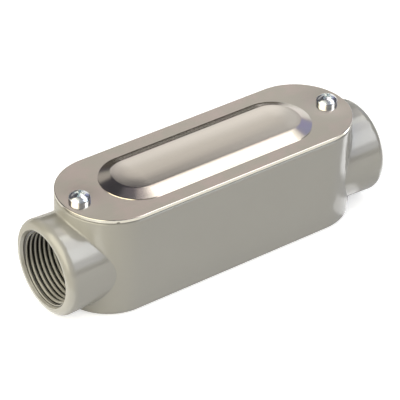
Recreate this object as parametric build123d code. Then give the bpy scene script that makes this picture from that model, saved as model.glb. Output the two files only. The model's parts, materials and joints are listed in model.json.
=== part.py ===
from build123d import *
from math import asin, cos, radians, sin, tan
import os

# Straight-through conduit body for 1 inch pipe, in millimetres
# The hubs run along X, the back of the casting lies on z = 0 and the cover faces up

# Body casting
body_length = 144.5
body_width = 47.3
rim_above_hub = 4.35
draft_angle = 1.5
end_lean_angle = 0.85
side_wall = 3.0
floor_thickness = 3.2
base_edge_radius = 2.6
rim_edge_radius = 0.7
chamber_corner_radius = 3.5
chamber_floor_radius = 2.0

# Hubs and their stepped bores
hub_projection = 10.65
hub_wall = 4.75
hub_lift = 0.05
hub_draft_angle = 2.2
hub_rim_radius = 3.5
hub_root_radius = 0.8
bore_diameter = 33.2
bore_depth = 16.6
mouth_chamfer_width = 0.6
mouth_chamfer_depth = 1.3
throat_diameter = 26.6
throat_length = 6.3
throat_rounding = 1.2

# Gasket and stamped cover
gasket_thickness = 0.6
gasket_inset = 0.25
gasket_bore_margin = 0.2
sheet_thickness = 1.4
cover_edge_radius = 0.3

# Drawn panel in the cover, measured on its upper side: a small upright step, then a sloped and crowned top
panel_end_from_screw = 12.15
flange_width = 7.25
panel_step = 0.2
panel_height = 2.5
panel_slope_angle = 21.0
panel_crown_angle = 5.0
panel_shoulder_radius = 3.5
panel_foot_radius = 0.8

# Cover screws and what they pass through
screw_from_body_end = 7.9
screw_major_diameter = 4.83
screw_root_diameter = 3.8
screw_length = 9.5
screw_tip_chamfer = 0.5
head_diameter = 9.25
head_height = 3.6
head_side_height = 1.5
head_edge_radius = 1.0
recess_span = 5.2
recess_width = 1.25
recess_depth = 2.0
recess_taper = 10.0
hole_clearance = 0.6
tapping_clearance = 0.06
tip_clearance = 0.7
boss_diameter = 10.4
screw_turns = {"left": 45, "right": 20}

# Heights and places that follow from the sizes above
hub_radius = bore_diameter / 2 + hub_wall
hub_axis_height = hub_radius + hub_lift
hub_top = hub_axis_height + hub_radius
body_height = hub_top + rim_above_hub
mouth_x = body_length / 2 + hub_projection
bore_end_x = mouth_x - bore_depth
chamber_end_x = bore_end_x - throat_length
end_centre_x = (body_length - body_width) / 2
gasket_base = body_height
cover_base = gasket_base + gasket_thickness
cover_top = cover_base + sheet_thickness
screw_x = body_length / 2 - screw_from_body_end
panel_end_x = screw_x - panel_end_from_screw
panel_half_width = body_width / 2 - flange_width
cover_hole_diameter = screw_major_diameter + hole_clearance
tapped_hole_diameter = screw_major_diameter + tapping_clearance
tapped_depth = screw_length - sheet_thickness - gasket_thickness + tip_clearance


def inset_obround(inset):
    return SlotOverall(body_length - 2 * inset, body_width - 2 * inset)


def on_both_ends(right_part):
    return right_part + mirror(right_part, Plane.YZ)


def upright_cylinders(diameter, bottom, top):
    column = Cylinder(diameter / 2, top - bottom, align=(Align.CENTER, Align.CENTER, Align.MIN))
    return on_both_ends(Pos(screw_x, 0, bottom) * column)


def hub_radius_at(x):
    return hub_radius - (mouth_x - x) * tan(radians(hub_draft_angle))


# Drafted hub with a rounded rim, from inside the rounded end out to the mouth
def make_hub():
    inner_radius = hub_radius_at(end_centre_x)
    hub_length = mouth_x - end_centre_x
    hub = Cone(inner_radius, hub_radius, hub_length, align=(Align.CENTER, Align.CENTER, Align.MIN))
    mouth_edge = hub.edges().filter_by(GeomType.CIRCLE).sort_by(Axis.Z)[-1]
    hub = fillet(mouth_edge, hub_rim_radius)
    return Pos(end_centre_x, 0, hub_axis_height) * Rot(0, 90, 0) * hub


# Cast fillet where each hub leaves the rounded end
def round_hub_roots(outside):
    def is_root(edge):
        middle = edge.position_at(0.5)
        off_axis = (middle.Y**2 + (middle.Z - hub_axis_height) ** 2) ** 0.5
        beside_wall = end_centre_x < abs(middle.X) < mouth_x - hub_rim_radius - hub_root_radius
        return beside_wall and abs(off_axis - hub_radius_at(abs(middle.X))) < 0.01

    roots = [edge for edge in outside.edges() if is_root(edge)]
    return fillet(roots, hub_root_radius)


# Outside of the casting: the sides draw in towards the back and the ends lean out a little
def make_casting_outside():
    back_length = body_length + 2 * body_height * tan(radians(end_lean_angle))
    back_width = body_width - 2 * body_height * tan(radians(draft_angle))
    rim = Pos(0, 0, body_height) * inset_obround(0)
    box = loft([SlotOverall(back_length, back_width).face(), rim.face()], ruled=True)
    box = fillet(box.edges().group_by(Axis.Z)[0], base_edge_radius)
    box = fillet(box.edges().group_by(Axis.Z)[-1], rim_edge_radius)
    return round_hub_roots(box + on_both_ends(make_hub()))


# Chamber: flat ends where the throats open, and a shallow step over each hub up to the rim
def make_chamber():
    depth = body_height - floor_thickness
    plan = inset_obround(side_wall) & Rectangle(2 * chamber_end_x, body_width)
    corners = [corner for corner in plan.vertices() if abs(corner.X) > chamber_end_x - 0.01]
    plan = fillet(corners, chamber_corner_radius)
    chamber = extrude(Pos(0, 0, body_height) * plan, amount=-depth, taper=draft_angle)
    chamber = fillet(chamber.edges().group_by(Axis.Z)[0], chamber_floor_radius)
    over_hubs = extrude(Pos(0, 0, hub_top) * inset_obround(side_wall), amount=body_height - hub_top)
    return chamber + over_hubs


# Quarter-round lip of the throat, from the wall face to the throat's bore
def throat_lip(face_x, towards):
    throat = throat_diameter / 2
    bend = throat_rounding * (1 - cos(radians(45)))
    return ThreePointArc(
        (face_x, throat + throat_rounding),
        (face_x + towards * bend, throat + bend),
        (face_x + towards * throat_rounding, throat),
    )


# Stepped bore of the right hub: chamfered mouth, threaded length, shoulder and rounded throat
def make_bore():
    bore = bore_diameter / 2
    mouth = bore + mouth_chamfer_width
    overrun = 1.0
    outer_lip = throat_lip(bore_end_x, -1)
    inner_lip = throat_lip(chamber_end_x, 1)
    outline = [
        Polyline(
            inner_lip @ 0,
            (chamber_end_x - overrun, (inner_lip @ 0).Y),
            (chamber_end_x - overrun, 0),
            (mouth_x + overrun, 0),
            (mouth_x + overrun, mouth),
            (mouth_x, mouth),
            (mouth_x - mouth_chamfer_depth, bore),
            (bore_end_x, bore),
            outer_lip @ 0,
        ),
        outer_lip,
        Line(outer_lip @ 1, inner_lip @ 1),
        inner_lip,
    ]
    return Pos(0, 0, hub_axis_height) * revolve(make_face(Curve() + outline), axis=Axis.X)


def make_body():
    outside = make_casting_outside()
    bosses = upright_cylinders(boss_diameter, hub_axis_height, body_height) & outside
    casting = outside - make_chamber() + bosses
    casting = casting - on_both_ends(make_bore())
    return casting - upright_cylinders(tapped_hole_diameter, body_height - tapped_depth, body_height)


# Outline of one side of the drawn panel, from its middle out to its foot, at a depth in the sheet
def panel_outline(depth):
    crown_angle = radians(panel_crown_angle)
    slope_angle = radians(panel_slope_angle)
    shoulder_run = panel_shoulder_radius * (sin(slope_angle) - sin(crown_angle))
    shoulder_drop = panel_shoulder_radius * (cos(crown_angle) - cos(slope_angle))
    foot_run = panel_foot_radius * sin(slope_angle)
    foot_rise = panel_foot_radius * (1 - cos(slope_angle))
    slope_run = (panel_height - shoulder_drop - foot_rise) / tan(slope_angle)
    crown_share = 1 - tan(crown_angle / 2) / tan(slope_angle)
    crown_half = (panel_half_width - shoulder_run - slope_run - foot_run) / crown_share
    crown_radius = crown_half / sin(crown_angle)

    def arc_about(centre, radius, start, end):
        angles = (start, (start + end) / 2, end)
        return ThreePointArc(*[(centre[0] + radius * sin(a), centre[1] + radius * cos(a)) for a in angles])

    crown = arc_about((0, panel_height - crown_radius), crown_radius - depth, 0, crown_angle)
    to_shoulder = crown_radius - panel_shoulder_radius
    shoulder_centre = (
        to_shoulder * sin(crown_angle),
        panel_height - crown_radius + to_shoulder * cos(crown_angle),
    )
    shoulder = arc_about(shoulder_centre, panel_shoulder_radius - depth, crown_angle, slope_angle)
    foot = arc_about((panel_half_width, panel_foot_radius), -panel_foot_radius - depth, slope_angle, 0)
    return [crown, shoulder, Line(shoulder @ 1, foot @ 0), foot]


# Solid under the panel's outline: straight along the middle, turned about each end
def make_panel_form(depth, floor):
    outline = panel_outline(depth)
    foot_point = outline[-1] @ 1
    closing = Polyline(foot_point, (foot_point.X, floor), (0, floor), outline[0] @ 0)
    half_section = Plane.XZ * make_face(Curve() + outline + [closing])
    spine_half = panel_end_x - panel_half_width
    end_form = revolve(half_section, axis=Axis.Z, revolution_arc=180)
    end_form = Pos(spine_half, 0, 0) * Rot(0, 0, -90) * end_form
    side_section = Pos(-spine_half, 0, 0) * Rot(0, 0, 90) * half_section
    side_form = extrude(side_section, amount=2 * spine_half, dir=(1, 0, 0))
    return side_form + mirror(side_form, Plane.XZ) + on_both_ends(end_form)


def make_cover():
    sheet = extrude(inset_obround(0), amount=-sheet_thickness)
    sheet = fillet(sheet.edges().group_by(Axis.Z)[-1], cover_edge_radius)
    on_step = Pos(0, 0, panel_step)
    raised = on_step * make_panel_form(0, -sheet_thickness / 2)
    hollow = on_step * make_panel_form(sheet_thickness, -2 * sheet_thickness)
    cover = Pos(0, 0, cover_top) * (sheet + raised - hollow)
    return cover - upright_cylinders(cover_hole_diameter, cover_base, cover_top)


def make_gasket():
    ring = inset_obround(gasket_inset) - inset_obround(side_wall + gasket_bore_margin)
    lug = Pos(screw_x, 0) * Circle(boss_diameter / 2 - gasket_bore_margin)
    plan = ring + (on_both_ends(lug) & inset_obround(gasket_inset))
    gasket = extrude(Pos(0, 0, gasket_base) * plan, amount=gasket_thickness)
    return gasket - upright_cylinders(cover_hole_diameter, gasket_base, cover_base)


# Pan-head screw with a tapered cross recess, its head seated on z = 0
def make_screw():
    head_radius = head_diameter / 2
    root_radius = screw_root_diameter / 2
    tip_radius = root_radius - screw_tip_chamfer
    dome_rise = head_height - head_side_height
    dome_radius = (head_radius**2 + dome_rise**2) / (2 * dome_rise)
    half_angle = asin(head_radius / dome_radius) / 2
    dome_middle = (dome_radius * sin(half_angle), head_height - dome_radius * (1 - cos(half_angle)))
    dome = ThreePointArc((head_radius, head_side_height), dome_middle, (0, head_height))
    outline = Polyline(
        dome @ 1,
        (0, -screw_length),
        (tip_radius, -screw_length),
        (root_radius, screw_tip_chamfer - screw_length),
        (root_radius, 0),
        (head_radius, 0),
        dome @ 0,
    )
    blank = revolve(Plane.XZ * make_face(Curve() + [dome, outline]), axis=Axis.Z)
    dome_edge = [edge for edge in blank.edges() if abs(edge.position_at(0.25).Z - head_side_height) < 0.001]
    blank = fillet(dome_edge, head_edge_radius)
    slots = (Rectangle(recess_span, recess_width), Rectangle(recess_width, recess_span))
    for slot in slots:
        blank = blank - extrude(Pos(0, 0, head_height) * slot, amount=-recess_depth, taper=recess_taper)
    return blank


parts = {"body": make_body(), "gasket": make_gasket(), "cover": make_cover()}
for side, end in (("left", -1), ("right", 1)):
    seat = Pos(end * screw_x, 0, cover_top) * Rot(0, 0, screw_turns[side])
    parts["cover_screw_" + side] = seat * make_screw()

os.makedirs("parts", exist_ok=True)
for name, shape in parts.items():
    export_step(shape, "parts/" + name + ".step")
    print(name, round(shape.volume, 1), shape.is_valid)
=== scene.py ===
import bpy
import bmesh
import json
import math
from mathutils import Matrix, Vector


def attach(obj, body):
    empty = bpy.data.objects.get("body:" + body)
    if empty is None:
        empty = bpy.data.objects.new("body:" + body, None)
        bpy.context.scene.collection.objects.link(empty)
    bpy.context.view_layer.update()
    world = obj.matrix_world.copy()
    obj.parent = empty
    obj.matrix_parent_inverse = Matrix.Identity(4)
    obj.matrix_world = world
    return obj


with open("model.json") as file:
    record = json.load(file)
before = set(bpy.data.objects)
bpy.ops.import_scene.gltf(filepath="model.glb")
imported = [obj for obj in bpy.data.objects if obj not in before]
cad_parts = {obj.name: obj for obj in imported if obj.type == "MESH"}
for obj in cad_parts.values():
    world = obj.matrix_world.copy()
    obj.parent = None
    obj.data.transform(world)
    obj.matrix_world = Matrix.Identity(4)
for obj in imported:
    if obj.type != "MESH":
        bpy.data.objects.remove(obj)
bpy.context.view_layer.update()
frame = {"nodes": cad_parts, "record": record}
print("frame loaded:", ", ".join(sorted(frame["nodes"])))


# Camera at the photograph's angle
cameraView = {
    "target": (0.0047, 0.0100, 0.0153),
    "distance": 1.0563,
    "azimuth": -37.152,
    "elevation": 35.333,
    "roll": 1.572,
    "lens": 220.25,
}


def makeCamera(view):
    azimuth = math.radians(view["azimuth"])
    elevation = math.radians(view["elevation"])
    back = Vector((
        math.sin(azimuth) * math.cos(elevation),
        -math.cos(azimuth) * math.cos(elevation),
        math.sin(elevation),
    ))
    right = Vector((math.cos(azimuth), math.sin(azimuth), 0.0))
    turn = Matrix((right, back.cross(right), back)).transposed().to_4x4()
    place = Matrix.Translation(Vector(view["target"]) + view["distance"] * back)
    cameraData = bpy.data.cameras.new("camera")
    cameraData.lens = view["lens"]
    camera = bpy.data.objects.new("camera", cameraData)
    camera.matrix_world = place @ turn @ Matrix.Rotation(math.radians(view["roll"]), 4, "Z")
    bpy.context.scene.collection.objects.link(camera)
    bpy.context.scene.camera = camera


makeCamera(cameraView)
bpy.context.scene.view_settings.view_transform = "Standard"
print("camera placed")


# A node's socket that can stand in an expression
class Link:
    def __init__(self, graph, socket):
        self.graph = graph
        self.socket = socket

    def output(self, name):
        return Link(self.graph, self.socket.node.outputs[name])

    def __add__(self, other):
        return self.graph.math("ADD", self, other)

    __radd__ = __add__

    def __sub__(self, other):
        return self.graph.math("SUBTRACT", self, other)

    def __rsub__(self, other):
        return self.graph.math("SUBTRACT", other, self)

    def __mul__(self, other):
        return self.graph.math("MULTIPLY", self, other)

    __rmul__ = __mul__

    def __truediv__(self, other):
        return self.graph.math("DIVIDE", self, other)


# A node tree, for shaders and for geometry
class Graph:
    def __init__(self, tree):
        self.tree = tree
        tree.nodes.clear()

    def add(self, kind, settings=None, sockets=None, output=0):
        node = self.tree.nodes.new(kind)
        for name, value in (settings or {}).items():
            setattr(node, name, value)
        for key, value in (sockets or {}).items():
            if isinstance(value, Link):
                self.tree.links.new(value.socket, node.inputs[key])
            else:
                node.inputs[key].default_value = value
        return Link(self, node.outputs[output]) if node.outputs else node

    def math(self, operation, *values):
        return self.add("ShaderNodeMath", {"operation": operation}, dict(enumerate(values)))

    def step(self, value, low, high):
        return self.add(
            "ShaderNodeMapRange",
            {"interpolation_type": "SMOOTHSTEP"},
            {"Value": value, "From Min": low, "From Max": high},
        )

    def between(self, value, low, high, edge):
        half = edge / 2
        return self.step(value, low - half, low + half) * (1 - self.step(value, high - half, high + half))

    def mix(self, factor, first, second):
        return self.add("ShaderNodeMix", {"data_type": "RGBA"}, {0: factor, 6: first, 7: second}, 2)

    def noise(self, vector, scale, detail=2.0, roughness=0.5):
        return self.add(
            "ShaderNodeTexNoise",
            {},
            {"Vector": vector, "Scale": scale, "Detail": detail, "Roughness": roughness},
        )

    def parts(self, vector):
        x = self.add("ShaderNodeSeparateXYZ", {}, {0: vector})
        return x, x.output("Y"), x.output("Z")

    def stretch(self, vector, factors):
        return self.add("ShaderNodeVectorMath", {"operation": "MULTIPLY"}, {0: vector, 1: factors})


def opaque(colour):
    return (*colour, 1.0)


# Studio: a dark room with soft panels around the object, and a white sweep of paper behind it
# Azimuth runs from +X towards +Y and elevation from the horizon, both in degrees
studio = {
    "surround": (0.06, 0.06, 0.075),
    "backdrop": (1.0, 1.0, 1.0),
    "sweep": {"azimuth": (29, 48), "elevation": (-20, 44), "edge": 5, "share": 0.6},
    "panels": {
        "nearFill": {"azimuth": (-136, -64), "elevation": (12, 80), "edge": 12, "light": (0.32, 0.33, 0.36)},
        "left": {"azimuth": (144, 224), "elevation": (2, 62), "edge": 16, "light": (3.5, 3.3, 2.65)},
        "leftTop": {"azimuth": (136, 225), "elevation": (60, 80), "edge": 10, "light": (0.9, 0.88, 0.8)},
        "keyFoot": {"azimuth": (-64, -40), "elevation": (9, 24), "edge": 6, "light": (1.4, 1.45, 1.65)},
        "keyLow": {"azimuth": (-64, -38), "elevation": (24, 54), "edge": 8, "light": (4.0, 4.1, 4.3)},
        "keyMid": {"azimuth": (-40, -12), "elevation": (41, 68), "edge": 8, "light": (3.4, 3.4, 3.6)},
        "keyHigh": {"azimuth": (-16, 11), "elevation": (55, 80), "edge": 8, "light": (4.4, 4.4, 4.2)},
        "shoulder": {"azimuth": (11, 46), "elevation": (47, 65), "edge": 5, "light": (1.65, 1.55, 1.5)},
        "top": {"azimuth": (12, 58), "elevation": (66, 80), "edge": 6, "light": (0.55, 0.53, 0.55)},
        "topFar": {"azimuth": (58, 104), "elevation": (66, 80), "edge": 6, "light": (0.17, 0.17, 0.2)},
        "bluePart": {"azimuth": (12, 29), "elevation": (14, 47), "edge": 6, "light": (0.42, 0.43, 0.68)},
        "far": {"azimuth": (48, 60), "elevation": (15, 32), "edge": 4, "light": (1.0, 0.98, 0.97)},
        "farTop": {"azimuth": (48, 60), "elevation": (32, 40), "edge": 5, "light": (0.74, 0.71, 0.68)},
        "farLow": {"azimuth": (48, 74), "elevation": (-20, 14), "edge": 5, "light": (0.1, 0.09, 0.08)},
        "farLeft": {"azimuth": (60, 74), "elevation": (18, 36), "edge": 5, "light": (0.7, 0.67, 0.68)},
        "farEnd": {"azimuth": (74, 104), "elevation": (20, 36), "edge": 5, "light": (0.52, 0.5, 0.48)},
        "sweepFoot": {"azimuth": (29, 48), "elevation": (-20, 16), "edge": 5, "light": (1.2, 1.2, 1.2)},
    },
    "floorColour": (0.7, 0.7, 0.7),
    "floorGlow": 0.6,
    "floorSheen": 0.1,
    "cards": {
        "right": {"x": (0.094, 0.25), "y": (-0.036, 0.12), "edge": 0.01, "glow": 1.8},
        "besideRightRoot": {"x": (0.064, 0.077), "y": (-0.032, -0.012), "edge": 0.004, "glow": 1.1},
        "underLeftRim": {"x": (-0.12, -0.081), "y": (-0.05, 0.05), "edge": 0.003, "glow": 0.9},
    },
    "floorSize": 1.5,
}


def makeWorld():
    world = bpy.data.worlds.new("studio")
    world.use_nodes = True
    graph = Graph(world.node_tree)
    direction = graph.add("ShaderNodeTexCoord", output="Generated")
    x, y, z = graph.parts(direction)
    azimuth = graph.math("DEGREES", graph.math("ARCTAN2", y, x))
    elevation = graph.math("DEGREES", graph.math("ARCSINE", z))

    def within(patch):
        first, last = patch["azimuth"]
        middle, reach = (first + last) / 2, (last - first) / 2
        aside = graph.math("FLOORED_MODULO", azimuth + (180 - middle), 360) - 180
        across = graph.between(aside, -reach, reach, patch["edge"])
        return across * graph.between(elevation, *patch["elevation"], patch["edge"])

    light = opaque(studio["surround"])
    for panel in studio["panels"].values():
        light = graph.mix(within(panel), light, opaque(panel["light"]))
    # The camera and clear pieces meet white all round, and gloss meets it where the sweep stands
    rays = graph.add("ShaderNodeLightPath", output="Is Camera Ray")
    seesThrough = graph.math("MAXIMUM", rays, rays.output("Is Transmission Ray"))
    seesSweep = rays.output("Is Glossy Ray") * within(studio["sweep"]) * studio["sweep"]["share"]
    seesBackdrop = graph.math("MAXIMUM", seesThrough, seesSweep)
    colour = graph.mix(seesBackdrop, light, opaque(studio["backdrop"]))
    background = graph.add("ShaderNodeBackground", {}, {"Color": colour, "Strength": 1.0})
    graph.add("ShaderNodeOutputWorld", {}, {"Surface": background})
    bpy.context.scene.world = world


def makeFloor():
    half = studio["floorSize"] / 2
    corners = [(-half, -half, 0), (half, -half, 0), (half, half, 0), (-half, half, 0)]
    mesh = bpy.data.meshes.new("floor")
    mesh.from_pydata(corners, [], [(0, 1, 2, 3)])
    material = bpy.data.materials.new("floor")
    material.use_nodes = True
    graph = Graph(material.node_tree)
    matt = graph.add("ShaderNodeBsdfDiffuse", {}, {"Color": opaque(studio["floorColour"])})
    rays = graph.add("ShaderNodeLightPath", output="Is Camera Ray")
    seesWhite = graph.math("MAXIMUM", rays, rays.output("Is Transmission Ray"))
    # White cards laid round the object show in gloss only
    place = graph.add("ShaderNodeTexCoord", output="Object")
    x, y, _ = graph.parts(place)
    sheen = studio["floorSheen"]
    for card in studio["cards"].values():
        covered = graph.between(x, *card["x"], card["edge"]) * graph.between(y, *card["y"], card["edge"])
        sheen = covered * card["glow"] + sheen
    sheen = rays.output("Is Glossy Ray") * sheen
    strength = graph.math("MAXIMUM", seesWhite * studio["floorGlow"], sheen)
    glow = graph.add("ShaderNodeEmission", {}, {"Color": opaque((1, 1, 1)), "Strength": strength})
    surface = graph.add("ShaderNodeAddShader", {}, {0: matt, 1: glow})
    graph.add("ShaderNodeOutputMaterial", {}, {"Surface": surface})
    mesh.materials.append(material)
    floor = bpy.data.objects.new("floor", mesh)
    bpy.context.scene.collection.objects.link(floor)


makeWorld()
makeFloor()
print("studio lit by", len(studio["panels"]), "panels")


# Finishes
def newMaterial(name):
    material = bpy.data.materials.new(name)
    material.use_nodes = True
    graph = Graph(material.node_tree)
    position = graph.add("ShaderNodeTexCoord", output="Object")
    return material, graph, position


def finish(graph, sockets):
    surface = graph.add("ShaderNodeBsdfPrincipled", {}, sockets)
    graph.add("ShaderNodeOutputMaterial", {}, {"Surface": surface})


def bump(graph, height, distance, under=None):
    sockets = {"Height": height, "Distance": distance, "Strength": 1.0}
    if under:
        sockets["Normal"] = under
    return graph.add("ShaderNodeBump", {}, sockets)


# Hub bores, both alike: place and radius from the frame, with the thread's crest standing inside the wall
hubMount = next(mount for mount in frame["record"]["mounts"] if mount["name"] == "right_hub")
hub = {
    "axisHeight": hubMount["pos_m"][2],
    "wallRadius": hubMount["dims"]["r_mm"] / 1000,
    "crestRadius": 0.01525,
    "wallFrom": 0.0663,
    "wallTo": 0.0816,
}

paint = {
    "colour": (0.338, 0.331, 0.306),
    "shade": (0.318, 0.311, 0.287),
    "cloudScale": 45.0,
    "roughness": 0.12,
    "roughnessSpread": 0.05,
    "roughnessScale": 180.0,
    "peelSize": 0.0011,
    "peelDepth": 0.000012,
    "refraction": 1.75,
    # Painted shade for the bore's grooves and the thread flanks, left off where surfaces face up as if lit
    # from above
    "grooveShadeColour": (0.025, 0.022, 0.018),
    "grooveShadeRoughness": 0.55,
    "grooveShadeEdge": 0.0002,
    "litFacingUp": (0.1, 0.8),
}


# Distance from the hubs' shared axis
def hubRadiusAt(graph, position):
    x, y, z = graph.parts(position)
    z = z - hub["axisHeight"]
    return x, graph.math("SQRT", y * y + z * z)


# How far a surface faces upwards, from -1 to 1
def facingUp(graph):
    facing = graph.add("ShaderNodeNewGeometry", output="Normal")
    return graph.parts(facing)[2]


def paintLayers(graph, position):
    cloud = graph.noise(position, paint["cloudScale"], 3.0)
    colour = graph.mix(cloud, opaque(paint["shade"]), opaque(paint["colour"]))
    peel = graph.noise(position, 1 / paint["peelSize"], 1.0)
    uneven = graph.noise(position, paint["roughnessScale"])
    return colour, paint["roughness"] + paint["roughnessSpread"] * uneven, peel


def makePaint():
    material, graph, position = newMaterial("greyPaint")
    colour, roughness, peel = paintLayers(graph, position)
    x, radius = hubRadiusAt(graph, position)
    # Painted shade: the bore's wall between the thread's ridges is darkened, except where it faces up, which
    # keeps the paint colour as if lit from above
    edge, wall = paint["grooveShadeEdge"], hub["wallRadius"]
    inBore = graph.between(graph.math("ABSOLUTE", x), hub["wallFrom"], hub["wallTo"], edge)
    grooveShade = inBore * (1 - graph.step(radius, wall + edge, wall + 2 * edge))
    grooveShade = grooveShade * (1 - graph.step(facingUp(graph), *paint["litFacingUp"]))
    finish(graph, {
        "Base Color": graph.mix(grooveShade, colour, opaque(paint["grooveShadeColour"])),
        "Roughness": roughness + grooveShade * (paint["grooveShadeRoughness"] - paint["roughness"]),
        "Normal": bump(graph, peel, paint["peelDepth"]),
        "IOR": paint["refraction"],
    })
    return material


sheet = {
    "pink": (0.655, 0.575, 0.525),
    "green": (0.60, 0.57, 0.50),
    "raised": (0.78, 0.73, 0.65),
    "raisedAbove": (0.0512, 0.0515),
    "edge": (0.88, 0.85, 0.77),
    "edgeAndFootFacing": (0.15, 0.5),
    "patchScale": 70.0,
    "patchRoughness": 0.6,
    "patchLimits": (0.35, 0.65),
    "roughness": 0.14,
    "roughnessSpread": 0.06,
    "grainLength": (30.0, 1400.0, 1400.0),
    "grainDepth": 0.0000015,
    "screwPlace": 0.06435,
    "dishReach": 0.009,
    "dishDepth": 0.00025,
    "darkSpot": (-0.0596, -0.0209, 0.04785),
    "darkSpotReach": 0.0009,
    "darkSpotCore": 0.00054,
    "darkSpotFlatness": 2.2,
    "darkSpotColour": (0.16, 0.15, 0.13),
}


def makeSheet():
    material, graph, position = newMaterial("satinSheet")
    x, y, height = graph.parts(position)
    patches = graph.noise(position, sheet["patchScale"], 3.0, sheet["patchRoughness"])
    patches = graph.step(patches, *sheet["patchLimits"])
    colour = graph.mix(patches, opaque(sheet["pink"]), opaque(sheet["green"]))
    # Painted highlight: the embossed panel's top gets a lighter, more neutral tint than the rest of the
    # sheet, which brightens its reflection
    colour = graph.mix(graph.step(height, *sheet["raisedAbove"]), colour, opaque(sheet["raised"]))
    # Near-vertical faces take a lighter tint: the sheet's bare sheared edge, and a painted highlight on the
    # embossed panel's steep foot step
    edge = 1 - graph.step(graph.math("ABSOLUTE", facingUp(graph)), *sheet["edgeAndFootFacing"])
    colour = graph.mix(edge, colour, opaque(sheet["edge"]))
    grain = graph.noise(graph.stretch(position, sheet["grainLength"]), 1.0)
    # The screws pull the sheet into a very shallow dish round them
    aside = graph.math("ABSOLUTE", x) - sheet["screwPlace"]
    dish = 1 - graph.math("EXPONENT", (aside * aside + y * y) * (-1 / sheet["dishReach"] ** 2))
    dished = bump(graph, dish, sheet["dishDepth"])
    # A small dark spot in the near side of the edge, longer than it is high
    offset = graph.add("ShaderNodeVectorMath", {"operation": "SUBTRACT"}, {0: position, 1: sheet["darkSpot"]})
    offset = graph.stretch(offset, (1.0, 1.0, sheet["darkSpotFlatness"]))
    away = graph.add("ShaderNodeVectorMath", {"operation": "LENGTH"}, {0: offset}, "Value")
    darkSpotted = 1 - graph.step(away, sheet["darkSpotCore"], sheet["darkSpotReach"])
    finish(graph, {
        "Base Color": graph.mix(darkSpotted, colour, opaque(sheet["darkSpotColour"])),
        "Metallic": 1.0,
        "Roughness": sheet["roughness"] + sheet["roughnessSpread"] * grain,
        "Normal": bump(graph, grain, sheet["grainDepth"], under=dished),
    })
    return material


zinc = {
    "colour": (0.84, 0.86, 0.88),
    "tint": (0.66, 0.74, 0.78),
    "tintScale": 500.0,
    "tintLimits": (0.45, 0.7),
    "roughness": 0.19,
    "roughnessSpread": 0.08,
    "roughnessScale": 900.0,
}


def makeZinc():
    material, graph, position = newMaterial("brightZinc")
    tint = graph.step(graph.noise(position, zinc["tintScale"]), *zinc["tintLimits"])
    uneven = graph.noise(position, zinc["roughnessScale"])
    finish(graph, {
        "Base Color": graph.mix(tint, opaque(zinc["colour"]), opaque(zinc["tint"])),
        "Metallic": 1.0,
        "Roughness": zinc["roughness"] + zinc["roughnessSpread"] * uneven,
    })
    return material


rubber = {
    "colour": (0.23, 0.225, 0.21),
    "bloom": (0.27, 0.265, 0.25),
    "bloomScale": 250.0,
    "roughness": 0.75,
    "roughnessSpread": 0.1,
}


def makeRubber():
    material, graph, position = newMaterial("gasketRubber")
    bloom = graph.noise(position, rubber["bloomScale"], 3.0)
    finish(graph, {
        "Base Color": graph.mix(bloom, opaque(rubber["colour"]), opaque(rubber["bloom"])),
        "Roughness": rubber["roughness"] + rubber["roughnessSpread"] * bloom,
    })
    return material


# Threads: crests in the plain paint colour, and flanks darkened with painted shade except where they face
# up, which stay lit as if from above
shadedThread = {
    "plainCrestDepth": 0.00012,
    "plainCrestEdge": 0.0001,
    "litFacingUp": (0.02, 0.35),
}


def makeShadedThread():
    material, graph, position = newMaterial("shadedThread")
    colour, roughness, peel = paintLayers(graph, position)
    _, radius = hubRadiusAt(graph, position)
    crestEdge = hub["crestRadius"] + shadedThread["plainCrestDepth"]
    # Painted shade on the flanks; crests and upward faces keep the paint colour
    crest = 1 - graph.step(radius, crestEdge, crestEdge + shadedThread["plainCrestEdge"])
    painted = graph.math("MAXIMUM", crest, graph.step(facingUp(graph), *shadedThread["litFacingUp"]))
    finish(graph, {
        "Base Color": graph.mix(painted, opaque(paint["grooveShadeColour"]), colour),
        "Roughness": roughness,
        "Normal": bump(graph, peel, paint["peelDepth"]),
    })
    return material


materials = {
    "painted_casting": makePaint(),
    "cover_sheet": makeSheet(),
    "screw_plating": makeZinc(),
    "gasket_rubber": makeRubber(),
}
shadedThreadMaterial = makeShadedThread()

for subpart in frame["record"]["subparts"]:
    node = frame["nodes"][subpart["node"]]
    for materialSlot in node.material_slots:
        materialSlot.material = materials[subpart["material_slot"]]


# One helical ridge: it winds about Z from z = 0 upwards and is turned and moved to its place
ridgeInputs = {
    "Pitch": "NodeSocketFloat",
    "Turns": "NodeSocketFloat",
    "Foot Radius": "NodeSocketFloat",
    "Ridge Height": "NodeSocketFloat",
    "Foot Width": "NodeSocketFloat",
    "Crest Width": "NodeSocketFloat",
    "Run Out": "NodeSocketFloat",
    "Run Out At End": "NodeSocketFloat",
    "Size At Tips": "NodeSocketFloat",
    "Steps": "NodeSocketInt",
    "Place": "NodeSocketVector",
    "Turn": "NodeSocketRotation",
    "Finish": "NodeSocketMaterial",
}


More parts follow.
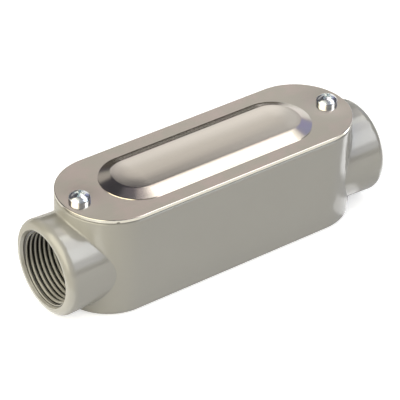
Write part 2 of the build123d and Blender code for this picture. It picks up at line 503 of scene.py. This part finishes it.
def makeRidgeTree():
    tree = bpy.data.node_groups.new("helicalRidge", "GeometryNodeTree")
    tree.interface.new_socket("Geometry", in_out="INPUT", socket_type="NodeSocketGeometry")
    for name, kind in ridgeInputs.items():
        tree.interface.new_socket(name, in_out="INPUT", socket_type=kind)
    tree.interface.new_socket("Geometry", in_out="OUTPUT", socket_type="NodeSocketGeometry")
    graph = Graph(tree)
    given = graph.add("NodeGroupInput")
    pitch, turns = given.output("Pitch"), given.output("Turns")
    foot, height = given.output("Foot Radius"), given.output("Ridge Height")
    spiral = graph.add("GeometryNodeCurveSpiral", {}, {
        "Resolution": given.output("Steps"),
        "Rotations": turns,
        "Start Radius": foot,
        "End Radius": foot,
        "Height": pitch * turns,
        "Reverse": True,
    })
    spiral = graph.add("GeometryNodeSetCurveNormal", {"mode": "Z_UP"}, {"Curve": spiral})
    footHalf, crestHalf = given.output("Foot Width") / 2, given.output("Crest Width") / 2
    corners = ((0.0, -1, footHalf), (0.0, 1, footHalf), (height, 1, crestHalf), (height, -1, crestHalf))
    points = {
        f"Point {number + 1}": graph.add("ShaderNodeCombineXYZ", {}, {"X": rise, "Y": side * half})
        for number, (rise, side, half) in enumerate(corners)
    }
    profile = graph.add("GeometryNodeCurvePrimitiveQuadrilateral", {"mode": "POINTS"}, points)
    along = graph.add("GeometryNodeSplineParameter", output="Factor") * turns
    fromStart = along / given.output("Run Out")
    fromEnd = (turns - along) / given.output("Run Out At End")
    size = graph.add("ShaderNodeMapRange", {}, {
        "Value": graph.math("MINIMUM", fromStart, fromEnd),
        "From Min": 0.0,
        "From Max": 1.0,
        "To Min": given.output("Size At Tips"),
    })
    ridge = graph.add("GeometryNodeCurveToMesh", {}, {
        "Curve": spiral, "Profile Curve": profile, "Scale": size, "Fill Caps": True,
    })
    placed = graph.add("GeometryNodeTransform", {}, {
        "Geometry": ridge, "Translation": given.output("Place"), "Rotation": given.output("Turn"),
    })
    plain = graph.add("GeometryNodeRealizeInstances", {}, {"Geometry": placed})
    finished = graph.add(
        "GeometryNodeSetMaterial", {}, {"Geometry": plain, "Material": given.output("Finish")}
    )
    graph.add("NodeGroupOutput", {}, {"Geometry": finished})
    return tree


def makeRidge(name, tree, values, mergeDistance):
    holder = bpy.data.objects.new(name, bpy.data.meshes.new(name + "_empty"))
    bpy.context.scene.collection.objects.link(holder)
    modifier = holder.modifiers.new("ridge", "NODES")
    modifier.node_group = tree
    identifiers = {
        item.name: item.identifier for item in tree.interface.items_tree if item.in_out == "INPUT"
    }
    for inputName, value in values.items():
        modifier[identifiers[inputName]] = value
    evaluated = holder.evaluated_get(bpy.context.evaluated_depsgraph_get())
    mesh = bpy.data.meshes.new_from_object(evaluated)
    holder.modifiers.remove(modifier)
    shape = bmesh.new()
    shape.from_mesh(mesh)
    bmesh.ops.remove_doubles(shape, verts=shape.verts, dist=mergeDistance)
    bmesh.ops.recalc_face_normals(shape, faces=shape.faces)
    shape.to_mesh(mesh)
    shape.free()
    holder.data = mesh
    return holder


hubThread = {
    "pitch": 0.002209,
    "from": 0.0669,
    "to": 0.0821,
    "footSink": 0.00022,
    "footWidth": 0.0019,
    "crestWidth": 0.0007,
    "runOutInside": 0.35,
    "runOutAtMouth": 0.62,
    "sizeAtTips": 0.02,
    "stepsPerTurn": 96,
    "mergeDistance": 1e-7,
}

ridgeTree = makeRidgeTree()
hubTurns = (hubThread["to"] - hubThread["from"]) / hubThread["pitch"]
for side, end in (("left", -1), ("right", 1)):
    footRadius = hub["wallRadius"] + hubThread["footSink"]
    thread = makeRidge(side + "_hub_thread", ridgeTree, {
        "Pitch": hubThread["pitch"],
        "Turns": hubTurns,
        "Foot Radius": footRadius,
        "Ridge Height": hub["crestRadius"] - footRadius,
        "Foot Width": hubThread["footWidth"],
        "Crest Width": hubThread["crestWidth"],
        "Run Out": hubThread["runOutInside"],
        "Run Out At End": hubThread["runOutAtMouth"],
        "Size At Tips": hubThread["sizeAtTips"],
        "Steps": hubThread["stepsPerTurn"],
        "Place": (end * hubThread["from"], 0, hub["axisHeight"]),
        "Turn": (0, end * math.pi / 2, 0),
        "Finish": shadedThreadMaterial,
    }, hubThread["mergeDistance"])
    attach(thread, "root")
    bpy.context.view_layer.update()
